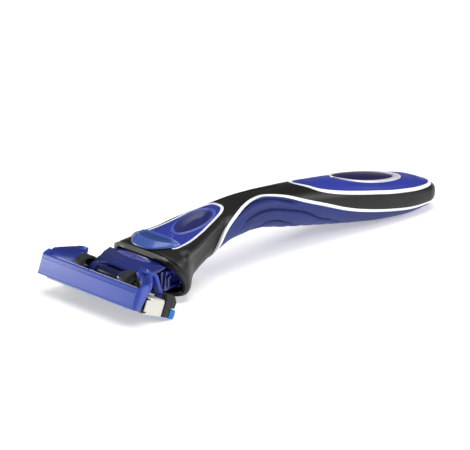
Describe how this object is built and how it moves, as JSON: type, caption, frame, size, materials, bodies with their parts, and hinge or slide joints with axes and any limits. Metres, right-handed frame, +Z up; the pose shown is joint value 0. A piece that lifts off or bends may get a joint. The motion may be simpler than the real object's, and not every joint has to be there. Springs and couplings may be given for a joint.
{
  "type": "cartridge razor",
  "caption": "Wet razor with an arched two-tone handle, push-off connector and a tilting cartridge whose front gel carrier flips up to bare a trimmer edge.",
  "frame": {"origin": "centre of the bounding box on the surface the razor lies on", "axes": "+Y along the length from the head to the tail, +X across the cartridge, +Z up"},
  "size_m": [0.042, 0.1431, 0.0204],
  "materials": {
    "white_plastic": "gloss moulded",
    "black_grip_rubber": "fine matt texture",
    "black_plastic": "satin moulded",
    "blue_rubber": "fine matt texture with moulded grooves",
    "blue_rubber_light": "satin",
    "badge_silver": "satin chrome plated",
    "badge_lens": "gloss domed",
    "button_plastic": "tinted translucent, satin",
    "connector_plastic": "tinted translucent, gloss",
    "guard_rubber": "ribbed",
    "carrier_plastic": "satin gloss",
    "gel": "waxy",
    "clip_metal": "bright rolled strip",
    "steel": "honed"
  },
  "bodies": {
    "handle": {"handle_core": "white_plastic", "black_grip": "black_grip_rubber", "belly_grip": "blue_rubber", "tail_pad": "blue_rubber_light", "badge_ring": "badge_silver", "badge_dome": "badge_lens", "thumb_panel_bezel": "white_plastic", "thumb_panel": "blue_rubber_light", "docking_nose": "black_plastic", "button_return_spring": "steel"},
    "button": {"release_button": "button_plastic", "ejector_slider": "white_plastic"},
    "connector": {"connector_shell": "connector_plastic", "pivot_pin_left": "steel", "pivot_pin_right": "steel", "latch_finger_left": "connector_plastic", "latch_finger_right": "connector_plastic", "pivot_return_spring": "steel"},
    "cartridge": {"cartridge_frame": "black_plastic", "blade_1": "steel", "blade_2": "steel", "blade_3": "steel", "blade_4": "steel", "blade_5": "steel", "bearing_lug_left": "black_plastic", "bearing_lug_right": "black_plastic", "clip_left": "clip_metal", "clip_right": "clip_metal", "end_cap_left": "black_plastic", "end_cap_right": "black_plastic", "guard_strip": "guard_rubber", "trimmer_blade": "steel"},
    "gel_carrier_body": {"gel_carrier": "carrier_plastic", "hinge_pin_left": "steel", "hinge_pin_right": "steel", "gel_strip": "gel"}
  },
  "joints": [
    {"name": "button_slide", "type": "slide", "parent": "handle", "child": "button", "axis": [0, -1, 0], "range_m": [0, 0.0023], "stiffness_N_per_m": 400, "springref_m": -0.002, "deforming": ["button_return_spring"]},
    {"name": "cartridge_release", "type": "slide", "parent": "handle", "child": "connector", "axis": [0, -1, 0], "range_m": [0, 0.016]},
    {"name": "cartridge_pivot", "type": "hinge", "parent": "connector", "child": "cartridge", "pos_m": [0, -0.06264, 0.00862], "axis": [1, 0, 0], "range_deg": [0, 35], "stiffness_Nm_per_rad": 0.006, "springref_deg": -28.65, "deforming": ["pivot_return_spring"]},
    {"name": "carrier_flip", "type": "hinge", "parent": "cartridge", "child": "gel_carrier_body", "pos_m": [0, -0.05799, 0.00545], "axis": [-1, 0, 0], "range_deg": [0, 38]}
  ]
}
